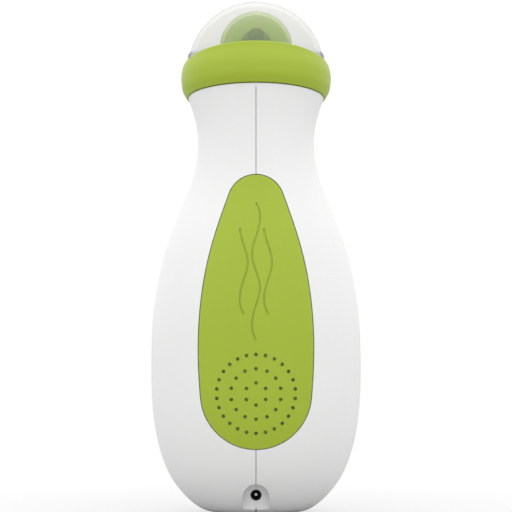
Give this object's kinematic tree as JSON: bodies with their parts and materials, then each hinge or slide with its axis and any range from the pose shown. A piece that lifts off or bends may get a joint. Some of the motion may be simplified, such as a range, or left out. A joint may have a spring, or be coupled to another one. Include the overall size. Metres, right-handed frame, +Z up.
{
  "type": "nasal aspirator",
  "caption": "Handheld cordless nasal aspirator: skittle-shaped housing, drop-shaped vent panel, leaning collar, clear dome cap over a collector bowl with a short nozzle, motor pump inside.",
  "frame": {"origin": "middle of the base where it rests, on the housing's upright axis", "axes": "+Z up, -Y to the control panel at the front, +Y to the vent panel at the rear, +X to the right seen from the front"},
  "size_m": [0.082, 0.0754, 0.2],
  "materials": {
    "white_shell": "satin moulded white ABS",
    "green_plastic": "satin moulded green ABS",
    "button_plastic": "satin moulded white ABS keys",
    "clear_plastic": "clear polycarbonate",
    "green_clear": "translucent green polypropylene",
    "white_silicone": "soft silicone",
    "dark_rubber": "matt rubber",
    "grey_nylon": "matt glass-filled nylon",
    "black_nylon": "matt black moulding",
    "steel": "plain steel",
    "nickel": "nickel plate",
    "copper": "enamelled copper",
    "bronze": "sintered bronze",
    "magnet_grey": "ferrite",
    "cell_wrap": "shrink wrap",
    "board_green": "solder mask",
    "felt": "dark felt",
    "lamp": "clear light guide",
    "wire_red": "PVC sleeve"
  },
  "bodies": {
    "housing": {"left_shell": "white_shell", "right_shell": "white_shell", "rear_panel": "green_plastic", "front_panel": "green_plastic", "collar_ring": "green_plastic", "base_pad": "white_silicone", "vent_felt": "felt", "shell_screws": "steel", "light_guides": "lamp", "head_deck": "green_plastic", "deck_seal": "white_silicone", "deck_screws": "steel", "filter_disc": "felt", "chassis": "grey_nylon", "battery_cell_left": "cell_wrap", "battery_cell_right": "cell_wrap", "battery_tabs": "nickel", "battery_holder": "black_nylon", "jack_body": "black_nylon", "jack_pin": "nickel", "main_board": "board_green", "board_screws": "steel", "tact_switches": "black_nylon", "status_lights": "lamp", "board_components": "black_nylon", "motor_can": "steel", "motor_end_bell": "black_nylon", "motor_magnets": "magnet_grey", "motor_brushes": "copper", "rear_bush": "bronze", "front_bush": "bronze", "motor_sleeve": "dark_rubber", "pump_crankcase": "grey_nylon", "cup_holder": "grey_nylon", "pump_diaphragm": "dark_rubber", "valve_plate": "grey_nylon", "check_valves": "white_silicone", "pump_head": "grey_nylon", "pump_screws": "steel", "suction_tube": "white_silicone", "exhaust_muffler": "felt", "wiring": "wire_red"},
    "rotor": {"motor_shaft": "steel", "rotor_core": "steel", "rotor_winding": "copper", "commutator": "copper", "crank_hub": "black_nylon", "crank_pin": "steel"},
    "drive_plate": {"wobble_plate": "black_nylon"},
    "collector_foot": {"collector_base": "green_plastic", "spigot_ring": "white_silicone", "bowl_seal": "white_silicone"},
    "collector": {"collector_bowl": "green_clear", "nozzle_tip": "white_silicone"},
    "cap": {"dome_cap": "clear_plastic"},
    "power_key": {"power_button": "button_plastic"},
    "plus_key": {"plus_button": "button_plastic"},
    "minus_key": {"minus_button": "button_plastic"}
  },
  "joints": [
    {"name": "rotor_spin", "type": "hinge", "parent": "housing", "child": "rotor", "pos_m": [0, 0, 0.1], "axis": [0, 0, 1], "continuous": true},
    {"name": "plate_nod", "type": "hinge", "parent": "rotor", "child": "drive_plate", "pos_m": [0, 0, 0.129], "axis": [0, -0.1045, 0.9945], "continuous": true},
    {"name": "foot_lift", "type": "slide", "parent": "housing", "child": "collector_foot", "axis": [0, -0.1908, 0.9816], "range_m": [0, 0.03]},
    {"name": "bowl_lift", "type": "slide", "parent": "collector_foot", "child": "collector", "axis": [0, -0.1908, 0.9816], "range_m": [0, 0.03]},
    {"name": "cap_lift", "type": "slide", "parent": "collector", "child": "cap", "axis": [0, -0.1908, 0.9816], "range_m": [0, 0.045]},
    {"name": "power_press", "type": "slide", "parent": "housing", "child": "power_key", "axis": [0, 1, 0], "range_m": [0, 0.0008], "stiffness_N_per_m": 250, "springref_m": -0.003},
    {"name": "plus_press", "type": "slide", "parent": "housing", "child": "plus_key", "axis": [0, 1, 0], "range_m": [0, 0.0008], "stiffness_N_per_m": 250, "springref_m": -0.003},
    {"name": "minus_press", "type": "slide", "parent": "housing", "child": "minus_key", "axis": [0, 1, 0], "range_m": [0, 0.0008], "stiffness_N_per_m": 250, "springref_m": -0.003}
  ],
  "couplings": [
    {"joint": "plate_nod", "follows": "rotor_spin", "ratio": -1}
  ]
}
